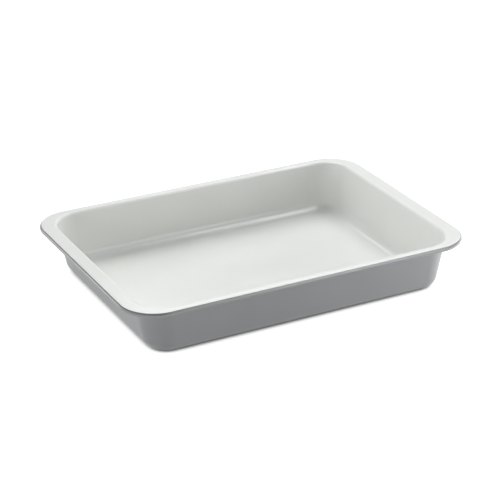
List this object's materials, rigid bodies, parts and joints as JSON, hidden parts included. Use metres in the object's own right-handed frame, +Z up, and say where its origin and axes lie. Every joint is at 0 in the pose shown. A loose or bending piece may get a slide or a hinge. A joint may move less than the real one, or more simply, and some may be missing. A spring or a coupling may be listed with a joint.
{
  "type": "baking dish",
  "caption": "Rectangular drawn steel baking dish with leaning walls, a flat flange and a wired rolled rim, coated white inside and grey outside.",
  "frame": {"origin": "centre of the underside, on the surface that the dish stands on", "axes": "+X along the dish's length, +Y across its width, +Z up out of its mouth"},
  "size_m": [0.3598, 0.2518, 0.051],
  "materials": {
    "bare_steel": "cold-rolled carbon steel sheet, hidden by its coatings",
    "galvanized_wire": "galvanized steel wire, hidden in the rolled rim",
    "white_coat": "satin white ceramic coating",
    "grey_coat": "satin mid-grey coating"
  },
  "bodies": {
    "root": {"steel_shell": "bare_steel", "rim_wire": "galvanized_wire", "white_inner_coating": "white_coat", "grey_outer_coating": "grey_coat"}
  },
  "joints": []
}
